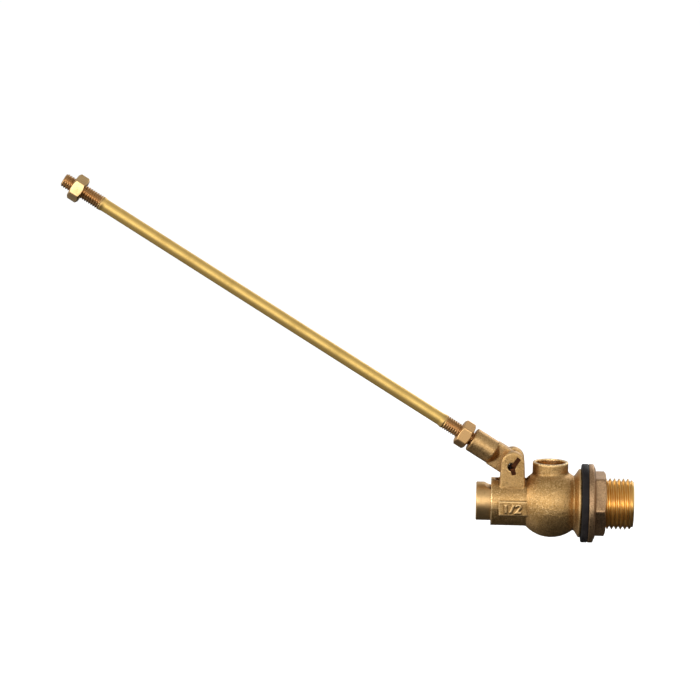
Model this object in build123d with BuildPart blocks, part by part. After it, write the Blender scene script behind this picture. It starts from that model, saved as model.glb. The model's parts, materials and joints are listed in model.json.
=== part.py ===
from build123d import *
import os
from math import cos, radians, sin

# Half-inch piston float valve in cast bronze, worked by a lever and a float rod. Millimetres.
# The origin is the centre of the inlet thread's open end. +X points out of the inlet and +Z out
# of the outlet boss. The float rod rises towards -X in the XZ plane, with the valve fully open.

PAST = 1.0  # how far a cut runs on past the wall that it opens
TOUCH = 0.01  # an edge this near a plane lies in it
CORNER_SLOPE = 2.0  # a nut's turned corners drop inwards twice as far as they run along it

# ---- inlet thread, G 1/2, with the gasket and locknut clamped on it
THREAD_R, THREAD_CHAMFER = 10.4775, 0.45
FREE_THREAD = 11.4  # open end to the locknut
RELIEF_WIDTH, RELIEF_R = 0.7, 9.6  # thread relief just under the locknut's outer end
INLET_BORE_R = 7.0
NUT_FLATS, NUT_HEIGHT, NUT_BORE_R = 24.0, 7.1, 10.51
NUT_FLANGE_R, NUT_FLANGE_T, NUT_CONE_T = 16.1, 2.0, 0.9
NUT_CORNER_DEG, NUT_CORNER = 3.0, 0.8  # turn of the corners from the XY plane, and their turned end
GASKET_R, GASKET_T, GASKET_BORE_R = 16.1, 2.9, 10.6

# ---- body casting
FLANGE_X = -(FREE_THREAD + NUT_HEIGHT + GASKET_T)  # face that the gasket lies on
FLANGE_R, FLANGE_RIM, FLARE_LENGTH, NECK_R = 14.0, 1.0, 2.2, 10.6
BALL_X, BALL_R = FLANGE_X - 12.2, 14.25
HOUSING_X, HOUSING_R = BALL_X - 24.7, 9.85
OUTLET_X, OUTLET_R, OUTLET_BORE_R = BALL_X - 0.6, 7.3, 6.0
OUTLET_TOP, OUTLET_FLOOR = 16.9, 9.8
CHAMBER_R = 11.5
PAD_LENGTH, PAD_HEIGHT, PAD_DEPTH = 12.0, 6.1, 1.6
PAD_X, PAD_Z, PAD_Y = BALL_X - 15.35, -1.1, -10.05
MARK_HEIGHT, MARK_STROKE, MARK_RAISED = 3.2, 0.7, 0.35
ONE_X, SLASH_X, TWO_X = PAD_X - 3.2, PAD_X - 0.7, PAD_X + 1.9  # centres of the size's three signs
SLASH_WIDTH, TWO_WIDTH = 1.4, 1.8
CAST_ROUND, OUTLET_ROOT_ROUND = 0.8, 1.5

# ---- ears and pivot
PIVOT_X, PIVOT_Z, PIN_HOLE_R = BALL_X - 16.6, 15.6, 1.6
EAR_X, EAR_Z, EAR_R = BALL_X - 16.05, 17.1, 4.75
EAR_Y = 7.1  # outer face from the centre plane
EAR_FOOT_WIDTH, EAR_FOOT_THICKNESS, EAR_FOOT_Z = 10.8, 0.5, 3.0
EAR_GAP, EAR_GAP_LENGTH, EAR_GAP_FLOOR = 5.4, 14.25, 9.3
SLOT_START, SLOT_END, SLOT_CORNER_R = BALL_X - 22.5, BALL_X - 9.5, 0.8  # the finger's way through

# ---- lever
ARM_DEG, FINGER_LEAN_DEG = 31.6, 13.0  # arm above the inlet axis, and finger from straight down
SWING_DEG = 26.0  # from open to shut
FINGER_LENGTH, FINGER_TIP_R, FINGER_NECK_R, FINGER_ROOT_R = 12.5, 2.4, 1.5, 3.2
TONGUE_T = 5.0
SOCKET_R, SOCKET_END, SHOULDER = 5.1, 19.4, 9.1  # SOCKET_END and SHOULDER lie along the arm
SOCKET_HOLE_DEPTH, SOCKET_CHAMFER = 9.0, 0.5

# ---- piston and the washer that it carries
TRAVEL = 2 * FINGER_LENGTH * sin(radians(SWING_DEG / 2))
PISTON_BORE_R, PISTON_R, PISTON_X, PISTON_CHAMFER = 7.95, 7.9, BALL_X - 30.8, 0.3
GUIDE_END = BALL_X - 0.9  # end of the piston's bore, inside the ball
FLAT_START, FLAT_END, FLAT_Z, FLAT_RUNOUT_R = BALL_X - 28.5, BALL_X - 15.0, 5.7, 5.0
POCKET_LENGTH, POCKET_WIDTH, POCKET_FLOOR = 5.4, 5.6, 0.2
ORING_X, ORING_R, ORING_WIRE_R = BALL_X - 7.7, 7.07, 0.86
GROOVE_WIDTH, GROOVE_R = 2.4, 6.2
SPIGOT_R, CAP_R, CAP_LENGTH, CAP_LIP_T, CAP_HOLE_R = 6.0, 7.8, 5.5, 1.0, 4.8
WASHER_T = 2.0
SLIP = 0.02  # radial gap where one plain cylinder stands for a thread in another

# ---- seat nozzle, screwed into the wall between the ball and the inlet
SEAT_WALL_X, INLET_BORE_END = BALL_X + 9.4, BALL_X + 12.7
SEAT_HOLE_R, COLLAR_FLATS, COLLAR_T = 5.0, 11.0, 1.5
SEAT_GASKET_R, SEAT_GASKET_T = 6.4, 0.5
NOZZLE_LIP_X, NOZZLE_LIP_R, NOZZLE_ROOT_R, NOZZLE_ORIFICE_R = BALL_X + 6.2, 3.4, 4.4, 2.5
NOZZLE_SUNK = 0.4  # the nozzle ends this far below the floor of the inlet waterway
SHUT_GAP = 0.08  # between the washer and the nozzle's lip when shut
WASHER_X = NOZZLE_LIP_X - TRAVEL - SHUT_GAP  # the washer's face, with the valve open
CAP_X = WASHER_X + CAP_LIP_T  # the cap's front

# ---- float rod, M6 at both ends, and its nuts (all of these lie along the arm)
ROD_R, ROD_THREAD_R, ROD_CHAMFER = 2.65, 3.0, 0.4
ROD_START, ROD_TIP, INNER_THREAD_END, OUTER_THREAD_START = 11.4, 216.4, 32.8, 198.4
ROD_NUT_FLATS, ROD_NUT_HEIGHT, ROD_NUT_HOLE_R = 10.0, 5.0, 3.03
ROD_NUT_CORNER = 0.45  # how far along the nut its corners are turned down
ROD_NUT_TURN_DEG = 30.0  # two of the flats face sideways
BARE_THREAD, BARE_TIP = 0.9, 4.4  # between lever and locknut, and past the float nut
ROD_NUT_START, FLOAT_NUT_START = SOCKET_END + BARE_THREAD, ROD_TIP - BARE_TIP - ROD_NUT_HEIGHT

# ---- split pin
PIN_R, PIN_SHIFT_X, PIN_SHIFT_Z = 1.1, 0.3, -0.32
PIN_LEG_WIDTH, PIN_LEG_T, PIN_CLEARANCE = 1.7, 1.1, 0.05
LONG_LEG, LONG_LEG_DEG, SHORT_LEG, SHORT_LEG_DEG = 4.6, 52.0, 2.6, -74.0
PIN_EYE_R, PIN_EYE_WIRE_R = 1.9, 0.7

PIVOT = Vector(PIVOT_X, 0, PIVOT_Z)
ARM = Vector(-cos(radians(ARM_DEG)), 0, sin(radians(ARM_DEG)))
FINGER = Vector(-sin(radians(FINGER_LEAN_DEG)), 0, -cos(radians(FINGER_LEAN_DEG)))
FINGER_TIP = PIVOT + FINGER * FINGER_LENGTH
SIDE_OF_LEVER = Plane(origin=PIVOT, x_dir=ARM, z_dir=(0, 1, 0))  # local x runs along the arm


def across_inlet(x):
    """The plane across the inlet axis at x, facing +X."""
    return Plane(origin=(x, 0, 0), x_dir=(0, 1, 0), z_dir=(1, 0, 0))


def across_arm(distance):
    """The plane across the arm at this distance from the pivot, facing away from it."""
    return Plane(origin=PIVOT + ARM * distance, x_dir=(0, 1, 0), z_dir=ARM)


def save(part, name):
    """Names a finished piece and writes its file."""
    part.label = name
    export_step(part, f"parts/{name}.step")


os.makedirs("parts", exist_ok=True)

# ---------------------------------------------------------------- valve body
with BuildPart() as valve_body:
    with BuildSketch(across_inlet(HOUSING_X)):
        Circle(HOUSING_R)
    extrude(amount=BALL_X - HOUSING_X)
    with Locations((BALL_X, 0, 0)):
        Sphere(BALL_R)
    with BuildSketch(Plane.XY):
        with Locations((OUTLET_X, 0)):
            Circle(OUTLET_R)
    extrude(amount=OUTLET_TOP)
    below_rim = OUTLET_TOP - OUTLET_ROOT_ROUND
    outlet_root = valve_body.edges(Select.NEW).filter_by(GeomType.LINE, reverse=True)
    fillet(outlet_root.filter_by(lambda e: 0 < e.center().Z < below_rim), OUTLET_ROOT_ROUND)
    # neck, flared flange and the blank of the inlet thread
    with BuildSketch(Plane.XZ):
        with BuildLine():
            Polyline(
                (BALL_X, 0),
                (0, 0),
                (0, THREAD_R - THREAD_CHAMFER),
                (-THREAD_CHAMFER, THREAD_R),
                (-FREE_THREAD, THREAD_R),
                (-FREE_THREAD, RELIEF_R),
                (-FREE_THREAD - RELIEF_WIDTH, RELIEF_R),
                (-FREE_THREAD - RELIEF_WIDTH, THREAD_R),
                (FLANGE_X, THREAD_R),
                (FLANGE_X, FLANGE_R),
                (FLANGE_X - FLANGE_RIM, FLANGE_R),
                (FLANGE_X - FLANGE_RIM - FLARE_LENGTH, NECK_R),
                (BALL_X, NECK_R),
                close=True,
            )
        make_face()
    revolve(axis=Axis.X)
    # ears, as one block that is slotted further on
    with BuildSketch(Plane.XZ.offset(-EAR_Y)):
        with Locations((EAR_X, EAR_Z)):
            Circle(EAR_R)
        with Locations((EAR_X, EAR_FOOT_Z)):
            Rectangle(EAR_FOOT_WIDTH, EAR_FOOT_THICKNESS)
        make_hull()
    extrude(amount=2 * EAR_Y)
    ear_rims = valve_body.edges().filter_by(
        lambda e: abs(abs(e.center().Y) - EAR_Y) < TOUCH and e.center().Z > EAR_GAP_FLOOR
    )
    fillet(ear_rims, CAST_ROUND)
    # raised pad for the pipe size, and the size on it
    with BuildSketch(Plane.XZ.offset(-PAD_Y)):
        with Locations((PAD_X, PAD_Z)):
            Rectangle(PAD_LENGTH, PAD_HEIGHT)
    extrude(amount=-PAD_DEPTH)
    mark_foot, mark_top = PAD_Z - MARK_HEIGHT / 2, PAD_Z + MARK_HEIGHT / 2
    bow_foot = PAD_Z + MARK_HEIGHT / 4
    with BuildSketch(Plane.XZ.offset(-PAD_Y)):
        with BuildLine():
            Line((ONE_X, mark_foot), (ONE_X, mark_top))
        with BuildLine():
            Line((SLASH_X - SLASH_WIDTH / 2, mark_foot), (SLASH_X + SLASH_WIDTH / 2, mark_top))
        with BuildLine():
            bow = ThreePointArc(
                (TWO_X - TWO_WIDTH / 2, bow_foot),
                (TWO_X, mark_top),
                (TWO_X + TWO_WIDTH / 2, bow_foot),
            )
            Polyline(
                bow @ 1,
                (TWO_X - TWO_WIDTH / 2, mark_foot),
                (TWO_X + TWO_WIDTH / 2, mark_foot),
            )
        trace(line_width=MARK_STROKE)
    extrude(amount=MARK_RAISED)
    # chamber, inlet waterway and the hole for the seat nozzle
    with BuildSketch(Plane.XZ):
        with Locations((BALL_X, 0)):
            Circle(CHAMBER_R)
        with Locations(((GUIDE_END + SEAT_WALL_X) / 2, CHAMBER_R / 2)):
            Rectangle(SEAT_WALL_X - GUIDE_END, CHAMBER_R, mode=Mode.INTERSECT)
    revolve(axis=Axis.X, mode=Mode.SUBTRACT)
    with BuildSketch(Plane.XZ):
        with BuildLine():
            Polyline(
                (0, 0),
                (0, INLET_BORE_R),
                (INLET_BORE_END, INLET_BORE_R),
                (INLET_BORE_END, SEAT_HOLE_R),
                (SEAT_WALL_X, SEAT_HOLE_R),
                (SEAT_WALL_X, 0),
                close=True,
            )
        make_face()
    revolve(axis=Axis.X, mode=Mode.SUBTRACT)
    # piston bore and outlet bore
    with BuildSketch(across_inlet(HOUSING_X)):
        Circle(PISTON_BORE_R)
    extrude(amount=GUIDE_END - HOUSING_X, mode=Mode.SUBTRACT)
    with BuildSketch(Plane.XY.offset(OUTLET_TOP)):
        with Locations((OUTLET_X, 0)):
            Circle(OUTLET_BORE_R)
    extrude(amount=OUTLET_FLOOR - OUTLET_TOP, mode=Mode.SUBTRACT)
    # gap between the ears, slot for the finger, and the split pin's hole
    with BuildSketch(Plane.XY.offset(EAR_GAP_FLOOR)):
        with Locations((EAR_X, 0)):
            Rectangle(EAR_GAP_LENGTH, EAR_GAP)
    extrude(amount=EAR_Z + EAR_R, mode=Mode.SUBTRACT)
    with BuildSketch(Plane.XY):
        with Locations(((SLOT_START + SLOT_END) / 2, 0)):
            RectangleRounded(SLOT_END - SLOT_START, EAR_GAP, SLOT_CORNER_R)
    extrude(amount=HOUSING_R + PAST, mode=Mode.SUBTRACT)
    with BuildSketch(Plane.XZ):
        with Locations((PIVOT_X, PIVOT_Z)):
            Circle(PIN_HOLE_R)
    extrude(amount=EAR_Y + PAST, both=True, mode=Mode.SUBTRACT)
save(valve_body.part, "valve_body")

# ---------------------------------------------------------------- seat nozzle and its gasket
NOZZLE_END = INLET_BORE_END - NOZZLE_SUNK
COLLAR_X = SEAT_WALL_X - SEAT_GASKET_T - COLLAR_T
with BuildPart() as seat_nozzle:
    with BuildSketch(across_inlet(COLLAR_X)):
        RegularPolygon(COLLAR_FLATS / 2, 6, major_radius=False)
    extrude(amount=COLLAR_T)
    with BuildSketch(Plane.XZ):
        with BuildLine():
            Polyline(
                (NOZZLE_LIP_X, 0),
                (NOZZLE_LIP_X, NOZZLE_LIP_R),
                (COLLAR_X, NOZZLE_ROOT_R),
                (COLLAR_X, SEAT_HOLE_R - SLIP),
                (NOZZLE_END, SEAT_HOLE_R - SLIP),
                (NOZZLE_END, 0),
                close=True,
            )
        make_face()
    revolve(axis=Axis.X)
    with BuildSketch(across_inlet(NOZZLE_LIP_X)):
        Circle(NOZZLE_ORIFICE_R)
    extrude(amount=NOZZLE_END - NOZZLE_LIP_X, mode=Mode.SUBTRACT)
save(seat_nozzle.part, "seat_nozzle")

with BuildPart() as seat_gasket:
    with BuildSketch(across_inlet(SEAT_WALL_X)):
        Circle(SEAT_GASKET_R)
        Circle(SEAT_HOLE_R, mode=Mode.SUBTRACT)
    extrude(amount=-SEAT_GASKET_T)
save(seat_gasket.part, "seat_gasket")

# ---------------------------------------------------------------- piston, and what it carries
CAP_BACK = CAP_X - CAP_LENGTH
SPIGOT_END = WASHER_X - WASHER_T
with BuildPart() as piston:
    with BuildSketch(Plane.XZ):
        with BuildLine():
            Polyline(
                (PISTON_X, 0),
                (PISTON_X, PISTON_R),
                (ORING_X - GROOVE_WIDTH / 2, PISTON_R),
                (ORING_X - GROOVE_WIDTH / 2, GROOVE_R),
                (ORING_X + GROOVE_WIDTH / 2, GROOVE_R),
                (ORING_X + GROOVE_WIDTH / 2, PISTON_R),
                (CAP_BACK, PISTON_R),
                (CAP_BACK, SPIGOT_R),
                (SPIGOT_END, SPIGOT_R),
                (SPIGOT_END, 0),
                close=True,
            )
        make_face()
    revolve(axis=Axis.X)
    outer_rim = piston.edges().filter_by(GeomType.CIRCLE).sort_by(Axis.X)[0]
    chamfer(outer_rim, PISTON_CHAMFER)
    # flat on top for the lever, run out in an arc at its outer end
    with BuildSketch(Plane.XZ):
        with BuildLine():
            runout = JernArc((FLAT_START + FLAT_RUNOUT_R, FLAT_Z), (-1, 0), FLAT_RUNOUT_R, -90)
            Polyline(
                runout @ 1,
                (FLAT_END, FLAT_Z + FLAT_RUNOUT_R),
                (FLAT_END, FLAT_Z),
                runout @ 0,
            )
        make_face()
    extrude(amount=PISTON_R, both=True, mode=Mode.SUBTRACT)
    # pocket that the finger's tip works in
    with BuildSketch(Plane.XY.offset(POCKET_FLOOR)):
        with Locations((FINGER_TIP.X, 0)):
            Rectangle(POCKET_LENGTH, POCKET_WIDTH)
    extrude(amount=PISTON_R, mode=Mode.SUBTRACT)
save(piston.part, "piston")

with BuildPart() as washer_cap:
    with BuildSketch(across_inlet(CAP_BACK)):
        Circle(CAP_R)
        Circle(SPIGOT_R + SLIP, mode=Mode.SUBTRACT)
    extrude(amount=CAP_LENGTH - CAP_LIP_T)
    with BuildSketch(across_inlet(WASHER_X)):
        Circle(CAP_R)
        Circle(CAP_HOLE_R, mode=Mode.SUBTRACT)
    extrude(amount=CAP_LIP_T)
save(washer_cap.part, "washer_cap")

with BuildPart() as seat_washer:
    with BuildSketch(across_inlet(SPIGOT_END)):
        Circle(SPIGOT_R)
    extrude(amount=WASHER_T)
save(seat_washer.part, "seat_washer")

with BuildPart() as piston_o_ring:
    with BuildSketch(Plane.XZ):
        with Locations((ORING_X, ORING_R)):
            Circle(ORING_WIRE_R)
    revolve(axis=Axis.X)
save(piston_o_ring.part, "piston_o_ring")

# ---------------------------------------------------------------- lever
with BuildPart() as lever:
    tip = SIDE_OF_LEVER.to_local_coords(FINGER_TIP)
    with BuildSketch(SIDE_OF_LEVER):
        Circle(FINGER_ROOT_R)
        with Locations((tip.X, tip.Y)):
            Circle(FINGER_NECK_R)
        make_hull()
        with Locations((tip.X, tip.Y)):
            Circle(FINGER_TIP_R)
        Circle(SOCKET_R)
        with Locations((SHOULDER / 2, 0)):
            Rectangle(SHOULDER, 2 * SOCKET_R)
    extrude(amount=TONGUE_T / 2, both=True)
    with BuildSketch(SIDE_OF_LEVER):
        with BuildLine():
            Polyline(
                (SHOULDER - SOCKET_R + TONGUE_T / 2, 0),
                (SHOULDER - SOCKET_R + TONGUE_T / 2, TONGUE_T / 2),
                (SHOULDER, SOCKET_R),
                (SOCKET_END - SOCKET_CHAMFER, SOCKET_R),
                (SOCKET_END, SOCKET_R - SOCKET_CHAMFER),
                (SOCKET_END, 0),
                close=True,
            )
        make_face()
    revolve(axis=Axis(PIVOT, ARM))
    with BuildSketch(across_arm(SOCKET_END)):
        Circle(ROD_THREAD_R + SLIP)
    extrude(amount=-SOCKET_HOLE_DEPTH, mode=Mode.SUBTRACT)
    with BuildSketch(SIDE_OF_LEVER):
        Circle(PIN_HOLE_R)
    extrude(amount=TONGUE_T, both=True, mode=Mode.SUBTRACT)
save(lever.part, "lever")

# ---------------------------------------------------------------- float rod and its nuts
with BuildPart() as float_rod:
    with BuildSketch(SIDE_OF_LEVER):
        with BuildLine():
            Polyline(
                (ROD_START, 0),
                (ROD_START, ROD_THREAD_R - ROD_CHAMFER),
                (ROD_START + ROD_CHAMFER, ROD_THREAD_R),
                (INNER_THREAD_END, ROD_THREAD_R),
                (INNER_THREAD_END, ROD_R),
                (OUTER_THREAD_START, ROD_R),
                (OUTER_THREAD_START, ROD_THREAD_R),
                (FLOAT_NUT_START, ROD_THREAD_R),
                (FLOAT_NUT_START, ROD_R),
                (FLOAT_NUT_START + ROD_NUT_HEIGHT, ROD_R),
                (FLOAT_NUT_START + ROD_NUT_HEIGHT, ROD_THREAD_R),
                (ROD_TIP - ROD_CHAMFER, ROD_THREAD_R),
                (ROD_TIP, ROD_THREAD_R - ROD_CHAMFER),
                (ROD_TIP, 0),
                close=True,
            )
        make_face()
    revolve(axis=Axis(PIVOT, ARM))
save(float_rod.part, "float_rod")

for name, start in (("rod_locknut", ROD_NUT_START), ("float_nut", FLOAT_NUT_START)):
    end = start + ROD_NUT_HEIGHT
    corner_r = ROD_NUT_FLATS / 2 + CORNER_SLOPE * ROD_NUT_CORNER
    with BuildPart() as rod_nut:
        with BuildSketch(across_arm(start)):
            RegularPolygon(ROD_NUT_FLATS / 2, 6, major_radius=False, rotation=ROD_NUT_TURN_DEG)
            Circle(ROD_NUT_HOLE_R, mode=Mode.SUBTRACT)
        extrude(amount=ROD_NUT_HEIGHT)
        # corners turned down at both ends
        with BuildSketch(SIDE_OF_LEVER):
            with BuildLine():
                Polyline(
                    (start, 0),
                    (start, ROD_NUT_FLATS / 2),
                    (start + ROD_NUT_CORNER, corner_r),
                    (end - ROD_NUT_CORNER, corner_r),
                    (end, ROD_NUT_FLATS / 2),
                    (end, 0),
                    close=True,
                )
            make_face()
        revolve(axis=Axis(PIVOT, ARM), mode=Mode.INTERSECT)
    save(rod_nut.part, name)

# ---------------------------------------------------------------- split pin
with BuildPart() as pivot_split_pin:
    pin_x, pin_z = PIVOT_X + PIN_SHIFT_X, PIVOT_Z + PIN_SHIFT_Z
    near_face = Plane(origin=(pin_x, -EAR_Y - PIN_CLEARANCE, pin_z), x_dir=(1, 0, 0), z_dir=(0, -1, 0))
    with BuildSketch(near_face):
        Circle(PIN_R)
    extrude(amount=PIN_LEG_T)
    with BuildSketch(near_face):
        Circle(PIN_R)
    extrude(amount=-2 * EAR_Y - PIN_EYE_WIRE_R)
    for length, angle in ((LONG_LEG, LONG_LEG_DEG), (SHORT_LEG, SHORT_LEG_DEG)):
        with BuildSketch(near_face):
            with BuildLine():
                PolarLine((0, 0), length, angle)
            trace(line_width=PIN_LEG_WIDTH)
        extrude(amount=PIN_LEG_T)
    eye_y = EAR_Y + PIN_EYE_WIRE_R + PIN_EYE_R
    with BuildSketch(Plane.XZ.offset(-eye_y)):
        with Locations((pin_x + PIN_EYE_R, pin_z)):
            Circle(PIN_EYE_WIRE_R)
    revolve(axis=Axis((pin_x, eye_y, pin_z), (0, 0, 1)))
save(pivot_split_pin.part, "pivot_split_pin")

# ---------------------------------------------------------------- inlet gasket and locknut
with BuildPart() as inlet_gasket:
    with BuildSketch(across_inlet(FLANGE_X)):
        Circle(GASKET_R)
        Circle(GASKET_BORE_R, mode=Mode.SUBTRACT)
    extrude(amount=GASKET_T)
save(inlet_gasket.part, "inlet_gasket")

NUT_START, NUT_END = FLANGE_X + GASKET_T, -FREE_THREAD
with BuildPart() as inlet_locknut:
    with BuildSketch(across_inlet(NUT_START)):
        RegularPolygon(NUT_FLATS / 2, 6, major_radius=False, rotation=NUT_CORNER_DEG)
    extrude(amount=NUT_HEIGHT)
    # corners turned down at the outer end
    with BuildSketch(Plane.XZ):
        with BuildLine():
            Polyline(
                (NUT_START, 0),
                (NUT_START, NUT_FLANGE_R),
                (NUT_END - NUT_CORNER, NUT_FLANGE_R),
                (NUT_END - NUT_CORNER, NUT_FLATS / 2 + CORNER_SLOPE * NUT_CORNER),
                (NUT_END, NUT_FLATS / 2),
                (NUT_END, 0),
                close=True,
            )
        make_face()
    revolve(axis=Axis.X, mode=Mode.INTERSECT)
    # flange, with a cone up to the hexagon
    with BuildSketch(Plane.XZ):
        with BuildLine():
            Polyline(
                (NUT_START, 0),
                (NUT_START, NUT_FLANGE_R),
                (NUT_START + NUT_FLANGE_T, NUT_FLANGE_R),
                (NUT_START + NUT_FLANGE_T + NUT_CONE_T, NUT_FLATS / 2),
                (NUT_START + NUT_FLANGE_T + NUT_CONE_T, 0),
                close=True,
            )
        make_face()
    revolve(axis=Axis.X)
    with BuildSketch(across_inlet(NUT_START)):
        Circle(NUT_BORE_R)
    extrude(amount=NUT_HEIGHT, mode=Mode.SUBTRACT)
save(inlet_locknut.part, "inlet_locknut")
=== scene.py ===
import json
from math import cos, pi, radians, sin, tau

import bmesh
import bpy
import numpy as np
from mathutils import Matrix, Vector, noise


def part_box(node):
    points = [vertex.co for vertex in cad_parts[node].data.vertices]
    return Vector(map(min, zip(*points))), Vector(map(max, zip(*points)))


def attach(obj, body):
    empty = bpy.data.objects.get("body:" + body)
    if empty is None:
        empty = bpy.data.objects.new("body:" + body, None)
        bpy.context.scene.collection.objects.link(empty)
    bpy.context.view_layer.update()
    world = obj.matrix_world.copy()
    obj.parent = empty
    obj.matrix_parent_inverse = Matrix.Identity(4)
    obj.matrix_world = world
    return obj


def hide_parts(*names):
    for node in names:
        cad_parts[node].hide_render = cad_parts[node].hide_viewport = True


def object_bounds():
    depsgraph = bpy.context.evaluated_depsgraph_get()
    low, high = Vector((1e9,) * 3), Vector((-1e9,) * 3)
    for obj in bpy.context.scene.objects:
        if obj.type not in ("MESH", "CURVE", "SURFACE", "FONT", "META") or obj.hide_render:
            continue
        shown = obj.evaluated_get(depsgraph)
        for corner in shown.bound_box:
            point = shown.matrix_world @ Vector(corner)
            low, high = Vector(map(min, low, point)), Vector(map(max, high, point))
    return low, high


# A cast bronze float valve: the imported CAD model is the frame, and the pieces made here are its looks.
# Lengths are in millimetres and are turned into metres where a mesh is made or the camera is placed.
# The floor and the lights are given in metres.

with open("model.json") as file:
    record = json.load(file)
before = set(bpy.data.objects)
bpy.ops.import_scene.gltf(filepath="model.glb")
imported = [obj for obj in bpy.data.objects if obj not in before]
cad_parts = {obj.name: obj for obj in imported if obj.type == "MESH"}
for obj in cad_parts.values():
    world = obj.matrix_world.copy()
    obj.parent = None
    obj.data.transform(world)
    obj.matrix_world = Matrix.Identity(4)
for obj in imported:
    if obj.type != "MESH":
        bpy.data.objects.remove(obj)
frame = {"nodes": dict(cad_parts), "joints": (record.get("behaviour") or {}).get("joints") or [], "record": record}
cad_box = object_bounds()

MM = 0.001
RECORD = frame["record"]
JOINTS = {joint["name"]: joint for joint in frame["joints"]}
MOUNTS = {mount["name"]: mount for mount in RECORD["mounts"]}


def box_mm(node):
    """The lowest and highest corners of a CAD node, in millimetres."""
    low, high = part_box(node)
    return np.array(low) / MM, np.array(high) / MM


# ---------------------------------------------------------------- places, from the frame
PIVOT = np.array(JOINTS["lever_pivot"]["pos_m"]) / MM
ARM = Vector(JOINTS["float_nut_spin"]["axis"])
THREAD_R = MOUNTS["inlet_thread"]["dims"]["r_mm"]
WATERWAY_R = MOUNTS["inlet_waterway"]["dims"]["r_mm"]
OUTLET = np.array(MOUNTS["outlet"]["pos_m"]) / MM
OUTLET_BORE_R = MOUNTS["outlet"]["dims"]["r_mm"]
BODY_LOW = box_mm("valve_body")[0]
GASKET_LOW, GASKET_HIGH = box_mm("inlet_gasket")
NUT_LOW, NUT_HIGH = box_mm("inlet_locknut")

# Matrices that lay Z along the inlet's axis, and along the arm's axis with the origin at the pivot.
INLET_AXIS = Matrix(((0, 0, 1, 0), (1, 0, 0, 0), (0, 1, 0, 0), (0, 0, 0, 1)))
ARM_UP = ARM.cross(Vector((0, 1, 0)))
ARM_AXIS = Matrix.Translation(Vector(PIVOT)) @ Matrix(
    ((0, ARM_UP.x, ARM.x, 0), (1, ARM_UP.y, ARM.y, 0), (0, ARM_UP.z, ARM.z, 0), (0, 0, 0, 1))
)

# ---------------------------------------------------------------- mesh helpers


def rounded(corners, steps=4):
    """A profile of (along, radius) points from (along, radius, rounding) corners.

    The rounding is the length that a curve takes off each side of its corner."""
    points = []
    count = len(corners)
    for i, (along, radius, rounding) in enumerate(corners):
        here = np.array((along, radius), float)
        if rounding == 0:
            points.append(here)
            continue
        before = np.array(corners[i - 1][:2], float) - here
        after = np.array(corners[(i + 1) % count][:2], float) - here
        first = here + before / np.linalg.norm(before) * rounding
        last = here + after / np.linalg.norm(after) * rounding
        for t in np.linspace(0, 1, steps + 1):
            points.append((1 - t) ** 2 * first + 2 * t * (1 - t) * here + t**2 * last)
    return [tuple(p) for p in points]


def divided(profile, start, end, step):
    """The profile with extra points on its lines that run along the axis between start and end."""
    points = [profile[0]]
    for (a, ra), (b, rb) in zip(profile, profile[1:]):
        inside = start - 0.01 <= min(a, b) and max(a, b) <= end + 0.01
        count = max(1, round(abs(b - a) / step)) if inside else 1
        for k in range(1, count + 1):
            points.append((a + (b - a) * k / count, ra + (rb - ra) * k / count))
    return points


def turned_mesh(name, axis, profile, steps, shape=None, hollow=False):
    """A mesh turned about the Z axis of a matrix. A hollow profile is a closed loop."""
    angles = np.arange(steps) * tau / steps
    rings = []
    for along, radius in profile:
        reach = shape(along, radius, angles) if shape else np.full(steps, radius)
        ring = (reach * np.cos(angles), reach * np.sin(angles), np.full(steps, along))
        rings.append(np.column_stack(ring))
    points = np.concatenate(rings)
    count = len(profile)
    faces = []
    for i in range(count if hollow else count - 1):
        a, b = i * steps, (i + 1) % count * steps
        faces += [(a + k, a + (k + 1) % steps, b + (k + 1) % steps, b + k) for k in range(steps)]
    if not hollow:
        ends = [(0, 0, profile[0][0]), (0, 0, profile[-1][0])]
        points = np.concatenate((points, ends))
        low, high, last = len(points) - 2, len(points) - 1, (count - 1) * steps
        faces += [(low, (k + 1) % steps, k) for k in range(steps)]
        faces += [(high, last + k, last + (k + 1) % steps) for k in range(steps)]
    mesh = bpy.data.meshes.new(name)
    mesh.from_pydata([axis @ Vector(p) * MM for p in points], [], faces)
    tidy_normals(mesh)
    return mesh


def tidy_normals(mesh, sharp_degrees=40):
    """Points the faces outwards and shades the mesh smooth, with sharp edges left sharp."""
    grid = bmesh.new()
    grid.from_mesh(mesh)
    bmesh.ops.recalc_face_normals(grid, faces=grid.faces)
    grid.to_mesh(mesh)
    grid.free()
    mesh.shade_smooth()
    mesh.set_sharp_from_angle(angle=radians(sharp_degrees))


def threaded(pitch, depth, start, end, runout):
    """A shape for turned_mesh: a right-handed thread cut between start and end."""

    def shape(along, radius, angles):
        phase = (along / pitch - angles / tau) % 1.0
        flank = np.clip((np.abs(2 * phase - 1) - 0.12) / 0.7, 0, 1)
        fade = np.clip((along - start) / runout, 0, 1) * np.clip((end - along) / runout, 0, 1)
        return radius - depth * flank * fade

    return shape


def hexagonal(flats, turn_degrees, blunt=0.985):
    """A shape for turned_mesh: cuts it down to a hexagon with slightly blunt corners."""

    def shape(along, radius, angles):
        from_flat = (angles - radians(turn_degrees)) % (tau / 6) - tau / 12
        reach = np.minimum(flats / 2 / np.cos(from_flat), flats / 2 / cos(pi / 6) * blunt)
        return np.minimum(radius, reach)

    return shape


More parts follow.
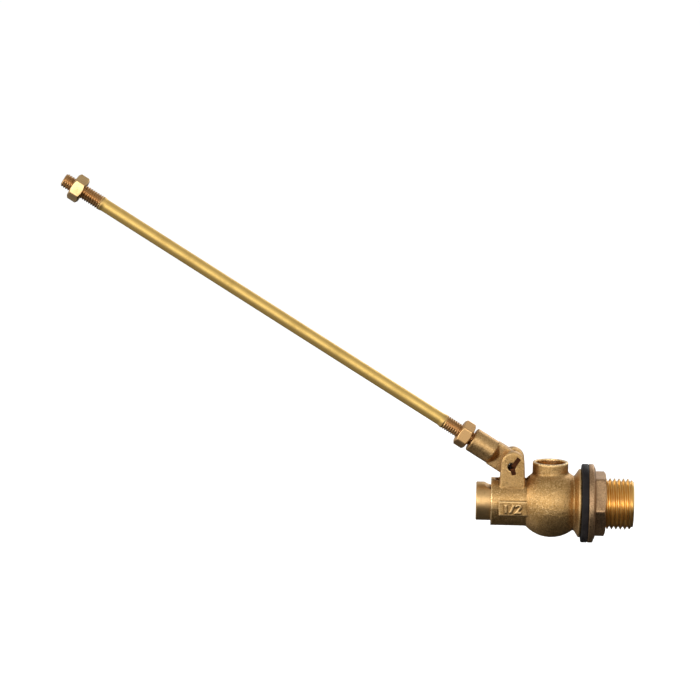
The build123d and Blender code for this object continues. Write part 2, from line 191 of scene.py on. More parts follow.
def from_cad(node, voxel, keep=1.0, cut_beyond_x=None):
    """A CAD node's mesh, rebuilt as an even grid of which a share of the faces is kept.

    What lies beyond a plane can be cut off first."""
    grid = bmesh.new()
    grid.from_mesh(frame["nodes"][node].data)
    bmesh.ops.remove_doubles(grid, verts=grid.verts, dist=1e-6)
    if cut_beyond_x is not None:
        everything = grid.verts[:] + grid.edges[:] + grid.faces[:]
        cut = bmesh.ops.bisect_plane(
            grid, geom=everything, plane_co=(cut_beyond_x * MM, 0, 0), plane_no=(1, 0, 0), clear_outer=True
        )
        rim = [e for e in cut["geom_cut"] if isinstance(e, bmesh.types.BMEdge)]
        bmesh.ops.triangle_fill(grid, edges=rim, use_beauty=True)
    mesh = bpy.data.meshes.new(node + "_blank")
    grid.to_mesh(mesh)
    grid.free()
    blank = bpy.data.objects.new(node + "_blank", mesh)
    bpy.context.collection.objects.link(blank)
    remesh = blank.modifiers.new("even", "REMESH")
    remesh.mode, remesh.voxel_size = "VOXEL", voxel * MM
    blank.modifiers.new("thin", "DECIMATE").ratio = keep
    result = bpy.data.meshes.new_from_object(blank.evaluated_get(bpy.context.evaluated_depsgraph_get()))
    bpy.data.objects.remove(blank)
    bpy.data.meshes.remove(mesh)
    return result


def coordinates(mesh):
    """The mesh's points, in millimetres."""
    flat = np.zeros(len(mesh.vertices) * 3)
    mesh.vertices.foreach_get("co", flat)
    return flat.reshape(-1, 3) / MM


def put_coordinates(mesh, points):
    mesh.vertices.foreach_set("co", (points * MM).ravel())
    mesh.update()


def along_arm(node):
    """Where a CAD node starts and ends along the arm, from the pivot."""
    reach = (coordinates(frame["nodes"][node].data) - PIVOT) @ np.array(ARM)
    return reach.min(), reach.max()


def relax(mesh, weight, rounds):
    """Softens a mesh's edges, by as much as each point's weight."""
    points = coordinates(mesh)
    edges = np.zeros(len(mesh.edges) * 2, int)
    mesh.edges.foreach_get("vertices", edges)
    a, b = edges.reshape(-1, 2).T
    neighbours = np.bincount(a, minlength=len(points)) + np.bincount(b, minlength=len(points))
    for _ in range(rounds):
        total = np.zeros_like(points)
        np.add.at(total, a, points[b])
        np.add.at(total, b, points[a])
        points += weight[:, None] * 0.5 * (total / neighbours[:, None] - points)
    put_coordinates(mesh, points)


def hollowness(mesh, rounds):
    """How far each point lies below its smoothed surroundings, in millimetres; negative on edges."""
    points = coordinates(mesh)
    relax(mesh, np.ones(len(points)), rounds)
    smooth = coordinates(mesh)
    put_coordinates(mesh, points)
    normals = np.zeros(len(points) * 3)
    mesh.vertex_normals.foreach_get("vector", normals)
    return np.einsum("ij,ij->i", smooth - points, normals.reshape(-1, 3))


def roughen(mesh, weight, size, height):
    """Lifts and sinks the surface a little, as sand does, in lumps of a size."""
    points = coordinates(mesh)
    normals = np.zeros(len(points) * 3)
    mesh.vertex_normals.foreach_get("vector", normals)
    lift = np.array([noise.noise(Vector(p) / size) for p in points]) * height * weight
    put_coordinates(mesh, points + normals.reshape(-1, 3) * lift[:, None])


def mark(mesh, name, values):
    """Stores one number for each point, which a material can read."""
    mesh.attributes.new(name, "FLOAT", "POINT").data.foreach_set("value", np.asarray(values, np.float32))


def step_down(value, edge, width=0.3):
    """1 well below an edge and 0 well above it."""
    return np.clip((edge - value) / width + 0.5, 0, 1)


def add_piece(mesh, name, body, slot, material, *nodes):
    """Puts a finished mesh in the scene as a piece that moves with a body and stands for CAD nodes."""
    piece = bpy.data.objects.new(name, mesh)
    bpy.context.collection.objects.link(piece)
    mesh.materials.clear()
    mesh.materials.append(material)
    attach(piece, body)
    if nodes:
        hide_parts(*nodes)


# ---------------------------------------------------------------- materials


def set_range(node, low, high, low_value, high_value):
    """Sets what a Map Range node maps from and to."""
    for socket, value in (
        ("From Min", low), ("From Max", high), ("To Min", low_value), ("To Max", high_value)
    ):
        node.inputs[socket].default_value = value


class Nodes:
    """A few short calls for building one material's nodes."""

    def __init__(self, name):
        self.material = bpy.data.materials.new(name)
        self.material.use_nodes = True
        self.tree = self.material.node_tree
        self.shader = self.tree.nodes["Principled BSDF"]
        self.place = self.add("ShaderNodeTexCoord").outputs["Object"]

    def add(self, kind, **settings):
        node = self.tree.nodes.new(kind)
        for key, value in settings.items():
            setattr(node, key, value)
        return node

    def link(self, source, socket):
        self.tree.links.new(source, socket)

    def noise(self, size, detail=3.0, rough=0.55, stretch=None):
        """Noise with lumps of a size in millimetres. A stretch is a scale and a turn of the lumps."""
        node = self.add("ShaderNodeTexNoise")
        node.inputs["Scale"].default_value = 1.0 / (size * MM)
        node.inputs["Detail"].default_value = detail
        node.inputs["Roughness"].default_value = rough
        place = self.place
        if stretch:
            mapping = self.add("ShaderNodeMapping", vector_type="POINT")
            mapping.inputs["Scale"].default_value, mapping.inputs["Rotation"].default_value = stretch
            self.link(place, mapping.inputs["Vector"])
            place = mapping.outputs["Vector"]
        self.link(place, node.inputs["Vector"])
        return node.outputs["Fac"]

    def ramp(self, source, low, high, low_value=0.0, high_value=1.0):
        """Spreads a source between two limits onto another range."""
        node = self.add("ShaderNodeMapRange")
        set_range(node, low, high, low_value, high_value)
        self.link(source, node.inputs["Value"])
        return node.outputs["Result"]

    def blend(self, factor, a, b):
        """Mixes two colours, given as values or as sockets."""
        node = self.add("ShaderNodeMix", data_type="RGBA")
        self.link(factor, node.inputs["Factor"])
        for socket, value in ((node.inputs[6], a), (node.inputs[7], b)):
            if isinstance(value, bpy.types.NodeSocket):
                self.link(value, socket)
            else:
                socket.default_value = (*value, 1.0)
        return node.outputs[2]

    def maths(self, operation, a, b):
        node = self.add("ShaderNodeMath", operation=operation)
        for socket, value in ((node.inputs[0], a), (node.inputs[1], b)):
            if isinstance(value, bpy.types.NodeSocket):
                self.link(value, socket)
            else:
                socket.default_value = value
        return node.outputs[0]

    def attribute(self, name):
        return self.add("ShaderNodeAttribute", attribute_name=name).outputs["Fac"]

    def bump(self, height, depth, previous=None):
        """Relief of a depth in millimetres from a 0 to 1 height."""
        node = self.add("ShaderNodeBump")
        node.inputs["Strength"].default_value = 1.0
        node.inputs["Distance"].default_value = depth * MM
        self.link(height, node.inputs["Height"])
        if previous:
            self.link(previous, node.inputs["Normal"])
        return node.outputs["Normal"]

    def finish(self, colour, roughness, normal, metallic=1.0):
        self.link(colour, self.shader.inputs["Base Color"])
        self.link(roughness, self.shader.inputs["Roughness"])
        self.link(normal, self.shader.inputs["Normal"])
        self.shader.inputs["Metallic"].default_value = metallic
        return self.material


def cast_metal(name, dark, light, bare, grain, depth, rough=(0.34, 0.52)):
    """Sand-cast bronze with a sparkling grain, painted shade in its hollows and bare metal on its edges.

    It reads what the mesh is marked with: machined, hollow, edge and, on the body, calm."""
    n = Nodes(name)
    turned_here = n.attribute("machined")
    cast_here = n.maths("SUBTRACT", 1.0, turned_here)
    patches, worn, fine = n.noise(7.0, 3.0), n.noise(0.9, 3.0), n.noise(grain, 2.0, 0.6)
    # The darkest tone: random grime in the grain, and painted shade where the hollows are darkened.
    grime_and_shade = tuple(c * k for c, k in zip(dark, (0.3, 0.24, 0.18)))
    colour = n.blend(n.ramp(patches, 0.38, 0.62), dark, light)
    colour = n.blend(n.ramp(fine, 0.53, 0.68, 0.0, 0.8), colour, bare)
    colour = n.blend(n.ramp(fine, 0.3, 0.46, 0.55, 0.0), colour, grime_and_shade)
    colour = n.blend(n.ramp(worn, 0.32, 0.48, 0.22, 0.0), colour, grime_and_shade)
    colour = n.blend(n.maths("MULTIPLY", n.attribute("edge"), 0.5), colour, bare)
    colour = n.blend(n.maths("MULTIPLY", turned_here, 0.9), colour, bare)
    # Painted shade: the points marked hollow are darkened.
    colour = n.blend(n.maths("MULTIPLY", n.attribute("hollow"), 0.85), colour, grime_and_shade)
    roughness = n.ramp(fine, 0.3, 0.7, *rough)
    roughness = n.maths("SUBTRACT", roughness, n.maths("MULTIPLY", turned_here, 0.18))
    relief = n.maths("MULTIPLY", n.maths("ADD", fine, n.maths("MULTIPLY", worn, 0.5)), cast_here)
    uncalmed = n.maths("SUBTRACT", 1.0, n.maths("MULTIPLY", n.attribute("calm"), 0.65))
    relief = n.maths("MULTIPLY", relief, uncalmed)
    return n.finish(colour, roughness, n.bump(relief, depth))


def bright_metal(name, colour, shade, rough, line_size, depth, stretch):
    """Drawn or turned brass, with fine lines in one direction and a little tarnish."""
    n = Nodes(name)
    lines, stain = n.noise(line_size, 2.0, 0.5, stretch), n.noise(6.0, 5.0, 0.6)
    tarnish = n.ramp(stain, 0.5, 0.72)
    mixed = n.blend(tarnish, colour, shade)
    mixed = n.blend(n.ramp(lines, 0.45, 0.75, 0.0, 0.35), mixed, shade)
    roughness = n.maths("ADD", n.ramp(stain, 0.4, 0.7, *rough), n.ramp(lines, 0.3, 0.7, 0.0, 0.06))
    return n.finish(mixed, roughness, n.bump(lines, depth))


def rod_metal(name, colour, shade, thread_colour):
    """The drawn rod, with redder, glossier threads where the mesh is marked threaded."""
    n = Nodes(name)
    lean = (0, pi / 2 - np.arctan2(ARM.z, -ARM.x), 0)
    lines, stain = n.noise(0.25, 2.0, 0.5, ((1, 1, 0.02), lean)), n.noise(9.0, 5.0, 0.6)
    in_thread = n.attribute("threaded")
    mixed = n.blend(n.ramp(stain, 0.48, 0.75), colour, shade)
    mixed = n.blend(n.ramp(lines, 0.45, 0.8, 0.0, 0.25), mixed, shade)
    mixed = n.blend(in_thread, mixed, thread_colour)
    roughness = n.ramp(stain, 0.35, 0.7, 0.46, 0.54)
    roughness = n.maths("ADD", roughness, n.maths("MULTIPLY", in_thread, -0.2))
    return n.finish(mixed, roughness, n.bump(lines, 0.004))


def rubber(name, colour, dust):
    """Moulded rubber or pressed fibre, with a faint bloom."""
    n = Nodes(name)
    fine, bloom = n.noise(0.35, 3.0), n.noise(5.0, 3.0)
    mixed = n.blend(n.ramp(bloom, 0.4, 0.75, 0.0, 0.6), colour, dust)
    n.shader.inputs["Specular IOR Level"].default_value = 0.16
    return n.finish(mixed, n.ramp(bloom, 0.3, 0.7, 0.42, 0.6), n.bump(fine, 0.02), metallic=0.0)


# How noise is stretched: a scale and a turn.
TURNED_ALONG_X = ((1, 0.04, 0.04), (0, 0, 0))
EVENLY = ((1, 1, 1), (0, 0, 0))

CAST = cast_metal(
    "cast_bronze", dark=(0.5, 0.285, 0.095), light=(0.62, 0.37, 0.14), bare=(0.92, 0.65, 0.32),
    grain=0.42, depth=0.13,
)
LEVER = cast_metal(
    "lever_bronze", dark=(0.42, 0.245, 0.095), light=(0.54, 0.33, 0.135), bare=(0.74, 0.49, 0.23),
    grain=0.5, depth=0.02, rough=(0.36, 0.46),
)
LOCKNUT = cast_metal(
    "locknut_bronze", dark=(0.4, 0.24, 0.13), light=(0.52, 0.33, 0.175), bare=(0.66, 0.44, 0.23),
    grain=0.45, depth=0.04,
)
TURNED = bright_metal(
    "machined_brass", colour=(0.72, 0.46, 0.2), shade=(0.5, 0.31, 0.13), rough=(0.34, 0.44),
    line_size=0.12, depth=0.004, stretch=TURNED_ALONG_X,
)
THREAD = bright_metal(
    "thread_brass", colour=(0.86, 0.56, 0.2), shade=(0.7, 0.41, 0.13), rough=(0.26, 0.34),
    line_size=0.3, depth=0.001, stretch=TURNED_ALONG_X,
)
FLOAT_NUT = bright_metal(
    "nut_brass", colour=(0.74, 0.5, 0.23), shade=(0.56, 0.35, 0.15), rough=(0.22, 0.3),
    line_size=0.6, depth=0.003, stretch=EVENLY,
)
ROD_LOCKNUT = bright_metal(
    "rod_locknut_brass", colour=(0.72, 0.43, 0.18), shade=(0.52, 0.3, 0.13), rough=(0.3, 0.38),
    line_size=0.6, depth=0.004, stretch=EVENLY,
)
# The pin's near-black colour is partly a dark tarnish and partly painted shade, standing in for the dark
# reflections on its flat faces.
PIN = bright_metal(
    "pin_metal", colour=(0.1, 0.035, 0.014), shade=(0.035, 0.012, 0.006), rough=(0.4, 0.6),
    line_size=0.2, depth=0.02, stretch=EVENLY,
)
ROD = rod_metal(
    "rod_brass", colour=(0.8, 0.54, 0.17), shade=(0.62, 0.41, 0.12), thread_colour=(0.54, 0.32, 0.14)
)
RUBBER = rubber("black_rubber", colour=(0.007, 0.005, 0.005), dust=(0.02, 0.016, 0.014))
FIBRE = rubber("red_fibre", colour=(0.35, 0.09, 0.05), dust=(0.42, 0.14, 0.09))

# ---------------------------------------------------------------- body casting
VOXEL = 0.26
BODY_KEEP = 0.68  # brings the body under 200,000 triangles
FLARE = 3.0  # from the flange's face to the middle of the flare's root
PISTON_BORE_R = 7.95
GUIDE_LENGTH = 23.8  # of the piston's bore, from the body's open end
EAR_GAP, SLOT_Z, SLOT_HALF_DEPTH = 5.4, 8.6, 0.95  # the slot under the lever, between the ears
PAD_Y, PAD_Z, PAD_HEIGHT, PAD_END_X = -10.05, -1.1, 6.1, OUTLET[0] - 8.75  # the pad with the size mark
FLANGE_X = GASKET_LOW[0]
GUIDE_END = BODY_LOW[0] + GUIDE_LENGTH
THREAD_OVERLAP = 0.2  # how far the inlet thread's piece starts beyond the flange's face


def mark_shade_and_wear(mesh, rounds, depth, painted_shade=0.0):
    """Marks the hollows that are painted in shade, with any other place painted in shade, and the edges that are
    rubbed bare.
    """
    below = hollowness(mesh, rounds)
    # Painted shade: the deeper a point lies in a hollow, the darker it is painted.
    mark(mesh, "hollow", np.maximum(np.clip(below / depth, 0, 1), painted_shade))
    mark(mesh, "edge", np.clip(-below / depth - 0.15, 0, 1))


def body_casting():
    mesh = from_cad("valve_body", VOXEL, BODY_KEEP, FLANGE_X + 0.6)
    x, y, z = coordinates(mesh).T
    from_axis, from_outlet = np.hypot(y, z), np.hypot(x - OUTLET[0], y)
    above_chamber, under_lever = z > 8, x < FLANGE_X - 20

    outlet_bore = step_down(from_outlet, OUTLET_BORE_R + 0.45) * above_chamber
    outlet_rim = step_down(-z, -OUTLET[2] + 0.35) * (from_outlet < OUTLET_BORE_R + 3)
    piston_bore = step_down(from_axis, PISTON_BORE_R + 0.4) * (x < GUIDE_END)
    ends = np.maximum(step_down(x, BODY_LOW[0] + 0.3), step_down(-x, -FLANGE_X + 0.3))
    machined = np.maximum.reduce((outlet_bore, outlet_rim, piston_bore, ends))
    flare_root = np.clip(1.6 - np.abs(x - FLANGE_X + FLARE), 0, 1) * (from_axis > THREAD_R - 1)
    # The slot's walls between the ears, painted dark as shade.
    shaded_slot_walls = (np.abs(y) < EAR_GAP / 2 + 0.25) * step_down(np.abs(z - SLOT_Z), SLOT_HALF_DEPTH)
    shaded_slot_walls *= under_lever
    on_pad = step_down(np.abs(y - PAD_Y), 0.7) * step_down(np.abs(z - PAD_Z), PAD_HEIGHT / 2 + 0.4)
    on_pad *= step_down(x, PAD_END_X)

    # Painted shade in the hollows shows sooner on the pad, and hardly at all where the surface is meant to be
    # hollow; the slot's walls between the ears are painted in shade.
    mark_shade_and_wear(mesh, 4, 0.06 - 0.02 * on_pad + 2 * flare_root + 2 * outlet_bore, shaded_slot_walls)
    relax(mesh, 1 - np.maximum(0.7 * machined, 0.6 * on_pad), 2)
    relax(mesh, flare_root, 14)
    roughen(mesh, 1 - np.maximum(machined, 0.7 * on_pad), 1.6, 0.04)
    roughen(mesh, 1 - np.maximum(machined, 0.9 * on_pad), 0.6, 0.03)
    mark(mesh, "calm", on_pad)
    mark(mesh, "machined", machined)
    tidy_normals(mesh, 60)
    add_piece(mesh, "body_casting", "valve_body", "cast_bronze", CAST, "valve_body")


def inlet_thread():
    pitch, depth = 25.4 / 14, 1.16
    profile = rounded([
        (FLANGE_X + THREAD_OVERLAP, WATERWAY_R, 0),
        (FLANGE_X + THREAD_OVERLAP, THREAD_R, 0),
        (-1.7, THREAD_R, 0.5),
        (0, THREAD_R - 1.3, 0.1),
        (0, WATERWAY_R + 0.4, 0),
        (-0.4, WATERWAY_R, 0),
    ])
    profile = divided(profile, FLANGE_X, 0, pitch / 14)
    thread = threaded(pitch, depth, FLANGE_X, 4 * pitch, 0.5)

    def outside_only(along, radius, angles):
        """Cuts the thread into the outside and leaves the waterway round."""
        if radius <= WATERWAY_R + 1:
            return np.full(len(angles), radius)
        return np.minimum(radius, thread(along, THREAD_R, angles))

    mesh = turned_mesh("inlet_thread", INLET_AXIS, profile, 144, outside_only, hollow=True)
    add_piece(mesh, "inlet_thread", "valve_body", "cast_bronze", THREAD)


# ---------------------------------------------------------------- gasket, locknut, piston, lever
def inlet_gasket():
    low, high, radius = GASKET_LOW[0], GASKET_HIGH[0], GASKET_HIGH[2]
    profile = rounded([
        (low, THREAD_R + 0.12, 0.2),
        (low, radius, 0.7),
        (high, radius, 0.7),
        (high, THREAD_R + 0.12, 0.2),
    ])
    mesh = turned_mesh("inlet_gasket", INLET_AXIS, profile, 128, hollow=True)
    add_piece(mesh, "inlet_gasket", "inlet_gasket", "rubber", RUBBER, "inlet_gasket")


def inlet_locknut():
    low, high, radius, flats = NUT_LOW[0], NUT_HIGH[0], NUT_HIGH[2], 24.0
    flange_end, hexagon_start = low + 2.0, low + 2.7
    corner = flats / 2 / cos(pi / 6)
    profile = rounded([
        (low, THREAD_R + 0.03, 0.3),
        (low, radius, 0.3),
        (flange_end, radius, 0.5),
        (hexagon_start, corner + 0.4, 0.4),
        (high - 0.9, corner + 0.4, 0.3),
        (high, flats / 2 + 0.1, 0.3),
        (high, THREAD_R + 0.9, 0),
        (high - 0.9, THREAD_R + 0.03, 0),
    ])
    profile = divided(profile, hexagon_start, high, 0.12)
    hexagon = hexagonal(flats, 3.0)

    def past_the_flange(along, r, angles):
        """A hexagon beyond the flange, which stays round."""
        return hexagon(along, r, angles) if along > hexagon_start + 0.15 else np.full(len(angles), r)

    mesh = turned_mesh("inlet_locknut", INLET_AXIS, profile, 240, past_the_flange, hollow=True)
    x = coordinates(mesh)[:, 0]
    mark(mesh, "machined", np.clip((x - high) * 4 + 1, 0, 1) * 0.6)
    # Painted shade in the crease where the flange meets the hexagon.
    mark(mesh, "hollow", step_down(np.abs(x - hexagon_start - 0.1), 0.25) * 0.5)
    mark(mesh, "edge", np.zeros(len(mesh.vertices)))
    add_piece(mesh, "inlet_locknut", "inlet_locknut", "locknut_bronze", LOCKNUT, "inlet_locknut")


def lever_casting():
    voxel, socket_face = 0.2, 19.2  # the socket's turned face is this far from the pivot
    mesh = from_cad("lever", voxel)
    relax(mesh, np.ones(len(mesh.vertices)), 4)
    # Painted shade in the lever's hollows, and bare metal on its edges.
    mark_shade_and_wear(mesh, 6, 0.12)
    along = (coordinates(mesh) - PIVOT) @ np.array(ARM)
    machined = step_down(-along, -socket_face) * 0.7
    roughen(mesh, 1 - machined, 2.2, 0.06)
    mark(mesh, "machined", machined)
    tidy_normals(mesh, 60)
    add_piece(mesh, "lever_casting", "lever", "lever_bronze", LEVER, "lever")


def softened(node, width):
    """A CAD node's mesh with its edges rounded over."""
    grid = bmesh.new()
    grid.from_mesh(frame["nodes"][node].data)
    bmesh.ops.remove_doubles(grid, verts=grid.verts, dist=1e-6)
    bmesh.ops.dissolve_limit(grid, angle_limit=radians(1), verts=grid.verts, edges=grid.edges)
    sharp = [e for e in grid.edges if len(e.link_faces) == 2 and e.calc_face_angle() > radians(35)]
    bmesh.ops.bevel(
        grid, geom=sharp, offset=width * MM, segments=2, profile=0.6, affect="EDGES", clamp_overlap=True
    )
    mesh = bpy.data.meshes.new(node + "_soft")
    grid.to_mesh(mesh)
    grid.free()
    tidy_normals(mesh)
    return mesh


def piston():
    add_piece(softened("piston", 0.2), "piston_turned", "piston", "machined_brass", TURNED, "piston")


# ---------------------------------------------------------------- rod, its nuts and the split pin
def float_rod():
    pitch, depth, thread_r, core_r = 1.0, 0.42, 3.0, 2.65
    start, tip = along_arm("float_rod")
    inner_end, outer_start = start + 21.4, tip - 18.0
    profile = rounded([
        (start, thread_r - 0.5, 0),
        (start + 0.5, thread_r, 0),
        (inner_end, thread_r, 0.4),
        (inner_end + 1.6, core_r, 0.5),
        (outer_start - 1.6, core_r, 0.5),
        (outer_start, thread_r, 0.4),
        (tip - 0.7, thread_r, 0.2),
        (tip, thread_r - 0.7, 0),
    ])
    profile = divided(profile, start, inner_end, pitch / 10)
    profile = divided(profile, outer_start, tip, pitch / 10)
    inner = threaded(pitch, depth, start - 5, inner_end + 0.6, 1.6)
    outer = threaded(pitch, depth, outer_start - 0.6, tip + 5, 1.6)

    def both_ends(along, radius, angles):
        """A thread at each end of the rod, and the plain rod between them."""
        thread = inner if along < (inner_end + outer_start) / 2 else outer
        return np.minimum(radius, thread(along, thread_r, angles))

    mesh = turned_mesh("float_rod", ARM_AXIS, profile, 48, both_ends)
    along = (coordinates(mesh) - PIVOT) @ np.array(ARM)
    inner_part, outer_part = step_down(along, inner_end, 2.4), step_down(-along, -outer_start, 2.4)
    mark(mesh, "threaded", np.maximum(inner_part, outer_part))
    add_piece(mesh, "float_rod", "lever", "rod_brass", ROD, "float_rod")


def rod_nut(name, turn, material):
    """One of the rod's two hexagon nuts, turned by some degrees about the rod."""
    flats, bore = 10.0, 3.03
    start, end = along_arm(name)
    corner = flats / 2 / cos(pi / 6)
    profile = rounded([
        (start, bore + 0.5, 0),
        (start, flats / 2 - 0.3, 0.15),
        (start + 0.8, corner + 0.05, 0.3),
        (end - 0.8, corner + 0.05, 0.3),
        (end, flats / 2 - 0.3, 0.15),
        (end, bore + 0.5, 0),
        (end - 0.5, bore, 0),
        (start + 0.5, bore, 0),
    ])
    profile = divided(profile, start, end, 0.1)
    mesh = turned_mesh(name, ARM_AXIS, profile, 144, hexagonal(flats, turn), hollow=True)
    add_piece(mesh, name, name, "rod_brass", material, name)


def swept_mesh(name, path, section, up):
    """A closed section carried along a path, its sideways direction kept as steady as it can be."""
    path = [Vector(p) for p in path]
    last = len(path) - 1
    tangents = [(path[min(i + 1, last)] - path[max(i - 1, 0)]).normalized() for i in range(last + 1)]
    side = Vector(up)
    points = []
    for place, tangent in zip(path, tangents):
        side = (side - tangent * side.dot(tangent)).normalized()
        other = tangent.cross(side)
        points += [(place + side * a + other * b) * MM for a, b in section]
    count = len(section)
    faces = [
        (i * count + k, i * count + (k + 1) % count, (i + 1) * count + (k + 1) % count, (i + 1) * count + k)
        for i in range(last) for k in range(count)
    ]
    faces += [tuple(range(count)), tuple(last * count + k for k in range(count))]
    mesh = bpy.data.meshes.new(name)
    mesh.from_pydata(points, [], faces)
    tidy_normals(mesh, 50)
    return mesh


def split_pin():
    """A half-round wire folded into an eye behind the ears, with its two legs bent over in front."""
    front, back = -7.25, 7.5
    centre = Vector((PIVOT[0] + 0.3, 0, PIVOT[2] - 0.32))
    radius, bend, eye, wire = 0.92, 0.75, 1.75, 0.55
    between = Vector((cos(radians(80)), 0, sin(radians(80))))  # from the lower leg to the upper one
    half_round = [(radius * sin(a), radius * cos(a)) for a in np.linspace(0, pi, 12)]

    def leg(name, side, direction_degrees, length, *nodes):
        """The stretch from a leg's blunt end to the eye, with its flat towards the other leg."""
        out = Vector((cos(radians(direction_degrees)), 0, sin(radians(direction_degrees))))
        root = centre + between * side * 0.04
        corner = root + Vector((0, front, 0))
        path = [corner + out * s for s in np.linspace(length, bend, 6)]
        for t in np.linspace(0, 1, 8)[1:]:
            path.append(corner + out * bend * (1 - t) ** 2 + Vector((0, bend * t**2, 0)))
        path += [root + Vector((0, s, 0)) for s in np.linspace(front + bend, back, 6)[1:]]
        mesh = swept_mesh(name, path, half_round, (0, 1, 0))
        add_piece(mesh, name, "valve_body", "pin_metal", PIN, *nodes)

    leg("split_pin_upper", 1, 56, 4.9, "pivot_split_pin")
    leg("split_pin_lower", -1, -74, 2.9)
    middle = centre + Vector((0, back + eye, 0))
    loop = []
    for a in np.linspace(0.3, tau - 0.3, 25):
        loop.append(middle + Vector((0, -eye * cos(a), 0)) + between * eye * sin(a))
    ring = [(wire * cos(a), wire * sin(a)) for a in np.arange(12) * tau / 12]
    mesh = swept_mesh("split_pin_eye", loop, ring, (1, 0, 0))
    add_piece(mesh, "split_pin_eye", "valve_body", "pin_metal", PIN)


body_casting()
inlet_thread()
inlet_gasket()
inlet_locknut()
lever_casting()
piston()
float_rod()
rod_nut("rod_locknut", 32.0, ROD_LOCKNUT)
rod_nut("float_nut", 34.0, FLOAT_NUT)
split_pin()

# The pieces inside the valve keep their CAD meshes.
INSIDE = {
    "seat_nozzle": TURNED,
    "washer_cap": TURNED,
    "seat_washer": RUBBER,
    "piston_o_ring": RUBBER,
    "seat_gasket": FIBRE,
}
for node, material in INSIDE.items():
    frame["nodes"][node].data.materials.clear()
    frame["nodes"][node].data.materials.append(material)

# ---------------------------------------------------------------- camera, floor and light
AZIMUTH, ELEVATION, ROLL = 2.4, 9.0, 0.9  # degrees
DISTANCE, LENS, SENSOR = 1200.0, 151.2, 36.0
AIM = Vector((PIVOT[0] - 66.9, 0, PIVOT[2] + 45.8))  # about the middle of the object


def add_camera():
    turn, tilt, roll = radians(AZIMUTH), radians(ELEVATION), radians(ROLL)
    back = Vector((sin(turn) * cos(tilt), -cos(turn) * cos(tilt), sin(tilt)))
    level = Vector((0, 0, 1)).cross(back).normalized()
    upright = back.cross(level)
    right = level * cos(roll) + upright * sin(roll)
    up = back.cross(right)
    camera = bpy.data.objects.new("camera", bpy.data.cameras.new("camera"))
    place = (AIM + back * DISTANCE) * MM
    camera.matrix_world = Matrix((
        (right.x, up.x, back.x, place.x),
        (right.y, up.y, back.y, place.y),
        (right.z, up.z, back.z, place.z),
        (0, 0, 0, 1),
    ))
    camera.data.lens, camera.data.sensor_width = LENS, SENSOR
    camera.data.clip_end = 100.0
    bpy.context.collection.objects.link(camera)
    bpy.context.scene.camera = camera


def add_floor():
    half, drop = 20.0, 0.12
    height = min(cad_box[0][2], 0) - drop
    corners = [(x * half, y * half, height) for x, y in ((-1, -1), (1, -1), (1, 1), (-1, 1))]
    mesh = bpy.data.meshes.new("floor")
    mesh.from_pydata(corners, [], [(0, 1, 2, 3)])
    floor = bpy.data.objects.new("floor", mesh)
    bpy.context.collection.objects.link(floor)
    material = bpy.data.materials.new("floor")
    material.use_nodes = True
    shader = material.node_tree.nodes["Principled BSDF"]
    shader.inputs["Base Color"].default_value = (0.95, 0.95, 0.95, 1)
    shader.inputs["Roughness"].default_value = 0.9
    mesh.materials.append(material)
    floor.visible_glossy = False


def add_light(name, place, aim, size, power):
    data = bpy.data.lights.new(name, "AREA")
    data.shape, data.size, data.size_y = "RECTANGLE", size[0], size[1]
    data.energy = power
    light = bpy.data.objects.new(name, data)
    light.location = place
    light.rotation_euler = (Vector(place) - Vector(aim)).to_track_quat("Z", "Y").to_euler()
    bpy.context.collection.objects.link(light)


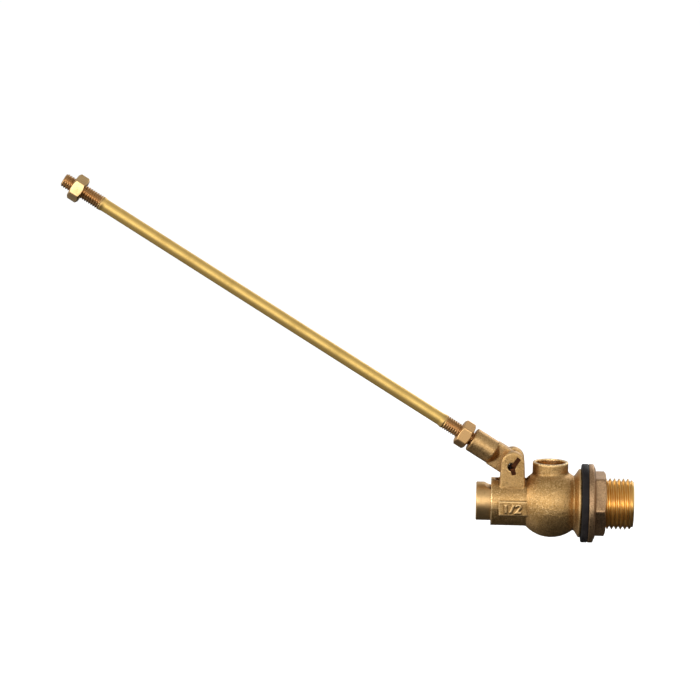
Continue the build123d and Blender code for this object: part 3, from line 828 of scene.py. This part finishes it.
def add_world():
    """A white room for the camera and the floor, and a studio for the metal to reflect."""
    world = bpy.data.worlds.new("studio")
    bpy.context.scene.world = world
    world.use_nodes = True
    world.cycles.sampling_method = "NONE"  # so that every ray is asked whether it is glossy
    tree = world.node_tree
    link, new = tree.links.new, tree.nodes.new
    room, output = tree.nodes["Background"], tree.nodes["World Output"]
    room.inputs["Color"].default_value, room.inputs["Strength"].default_value = (1, 1, 1, 1), 1.12

    # The studio's brightness by height: dark below, bright around and a little dimmer overhead.
    studio = new("ShaderNodeBackground")
    place, split = new("ShaderNodeTexCoord"), new("ShaderNodeSeparateXYZ")
    link(place.outputs["Generated"], split.inputs[0])
    height, ramp = new("ShaderNodeMapRange"), new("ShaderNodeValToRGB")
    set_range(height, -1.0, 1.0, 0.0, 1.0)
    link(split.outputs["Z"], height.inputs["Value"])
    link(height.outputs["Result"], ramp.inputs["Fac"])
    stops = (
        (0.0, 0.05), (0.275, 0.025), (0.36, 0.12), (0.43, 0.55),
        (0.525, 0.86), (0.75, 0.86), (0.925, 0.62), (1.0, 0.55),
    )
    elements = ramp.color_ramp.elements
    while len(elements) < len(stops):
        elements.new(0.5)
    for element, (position, level) in zip(elements, stops):
        element.position, element.color = position, (level, level, level, 1)

    # A pale wall reaches below the horizon on the left.
    low_left, brighter = new("ShaderNodeMapRange"), new("ShaderNodeMath")
    set_range(low_left, -0.3, -0.65, 0.0, 0.5)
    brighter.operation = "MAXIMUM"
    link(split.outputs["X"], low_left.inputs["Value"])
    link(ramp.outputs["Color"], brighter.inputs[0])
    link(low_left.outputs["Result"], brighter.inputs[1])
    link(brighter.outputs[0], studio.inputs["Color"])

    # The studio is brighter in front than behind.
    front = new("ShaderNodeMapRange")
    set_range(front, -1.0, 1.0, 1.0, 0.62)
    link(split.outputs["Y"], front.inputs["Value"])
    link(front.outputs["Result"], studio.inputs["Strength"])

    paths, mix = new("ShaderNodeLightPath"), new("ShaderNodeMixShader")
    link(paths.outputs["Is Glossy Ray"], mix.inputs["Fac"])
    link(room.outputs[0], mix.inputs[1])
    link(studio.outputs[0], mix.inputs[2])
    link(mix.outputs[0], output.inputs["Surface"])


add_camera()
add_floor()
add_world()
VALVE = (-0.08, 0, 0.03)  # what most lights aim at
add_light("key", (-0.47, -0.92, 0.22), VALVE, (0.82, 0.46), 2.9)
add_light("right", (0.32, -0.95, 0.22), VALVE, (0.5, 0.44), 1.3)
add_light("left", (-1.0, -0.15, 0.2), (-0.05, 0, 0), (0.3, 0.4), 2.0)
add_light("back", (0.3, 0.8, 0.5), VALVE, (0.5, 0.4), 1.6)
bpy.context.scene.view_settings.view_transform = "Standard"
